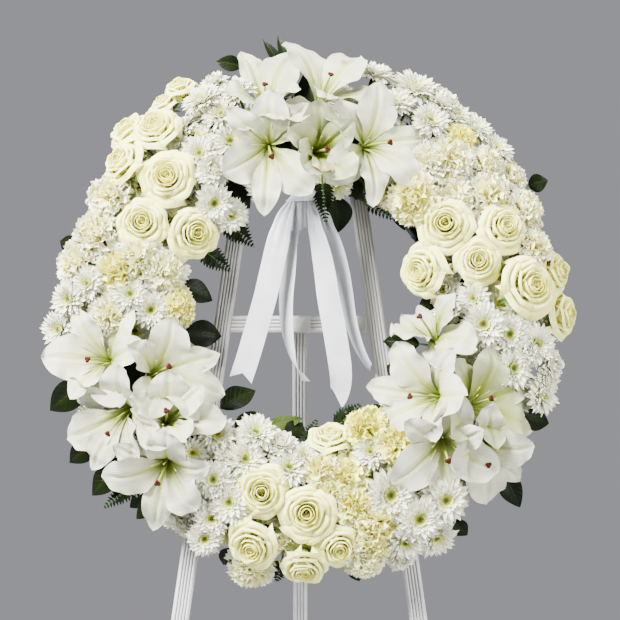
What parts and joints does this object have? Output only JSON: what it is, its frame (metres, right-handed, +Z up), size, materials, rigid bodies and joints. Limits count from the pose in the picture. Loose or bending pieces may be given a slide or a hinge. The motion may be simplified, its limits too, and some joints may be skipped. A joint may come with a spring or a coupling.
{
  "type": "funeral wreath on easel",
  "caption": "Ring of white lilies, cream roses, carnations and chrysanthemums with satin tails, hung on a white folding wooden easel.",
  "frame": {"origin": "centre of the overall box on the floor", "axes": "+Z up, the wreath faces -Y, +X to the right of someone looking at it"},
  "size_m": [0.6457, 0.6, 1.3975],
  "materials": {
    "worn_white_paint": "worn white paint on reeded softwood slats",
    "steel": "dull plated wire and strip",
    "foam": "dark green floral foam, matt",
    "tray": "dark green moulded tray",
    "satin": "white single-face satin ribbon",
    "lily_petal": "waxy white petal with green midrib and throat",
    "rose_petal": "ivory velvet petal, yellow-green depth",
    "carnation_petal": "cream ruffled petal, yellow heart",
    "chrysanthemum_petal": "white petal, yellow-green centre",
    "leaf": "glossy dark green leaf"
  },
  "bodies": {
    "wreath_and_front_frame": {"carnations_bottom": "carnation_petal", "carnations_bottom_left": "carnation_petal", "carnations_left": "carnation_petal", "carnations_top_right": "carnation_petal", "chrysanthemums_bottom_left": "chrysanthemum_petal", "chrysanthemums_bottom_right": "chrysanthemum_petal", "chrysanthemums_left": "chrysanthemum_petal", "chrysanthemums_right": "chrysanthemum_petal", "chrysanthemums_top_left": "chrysanthemum_petal", "chrysanthemums_top_right": "chrysanthemum_petal", "crossbar": "worn_white_paint", "foam_ring": "foam", "foliage_inner": "leaf", "foliage_outer": "leaf", "hinge_bracket": "steel", "hinge_pin": "steel", "left_leg": "worn_white_paint", "lily_01": "lily_petal", "lily_02": "lily_petal", "lily_03": "lily_petal", "lily_04": "lily_petal", "lily_05": "lily_petal", "lily_06": "lily_petal", "lily_07": "lily_petal", "lily_08": "lily_petal", "lily_09": "lily_petal", "lily_10": "lily_petal", "lily_11": "lily_petal", "lily_12": "lily_petal", "lily_13": "lily_petal", "lily_14": "lily_petal", "lily_15": "lily_petal", "ribbon_knot": "satin", "ribbon_tail_1": "satin", "ribbon_tail_2": "satin", "ribbon_tail_3": "satin", "ribbon_tail_4": "satin", "right_leg": "worn_white_paint", "ring_tray": "tray", "rose_01": "rose_petal", "rose_02": "rose_petal", "rose_03": "rose_petal", "rose_04": "rose_petal", "rose_05": "rose_petal", "rose_06": "rose_petal", "rose_07": "rose_petal", "rose_08": "rose_petal", "rose_09": "rose_petal", "rose_10": "rose_petal", "rose_11": "rose_petal", "rose_12": "rose_petal", "rose_13": "rose_petal", "rose_14": "rose_petal", "rose_15": "rose_petal", "rose_16": "rose_petal", "spray_rose_right": "rose_petal", "spray_rose_top_left": "rose_petal", "top_block": "worn_white_paint", "wreath_hook": "steel"},
    "rear_leg": {"rear_leg": "worn_white_paint"}
  },
  "joints": [
    {"name": "rear_leg_fold", "type": "hinge", "parent": "wreath_and_front_frame", "child": "rear_leg", "pos_m": [-0.01754, -0.0911, 1.05708], "axis": [-1, 0, 0], "range_deg": [0, 30]}
  ]
}
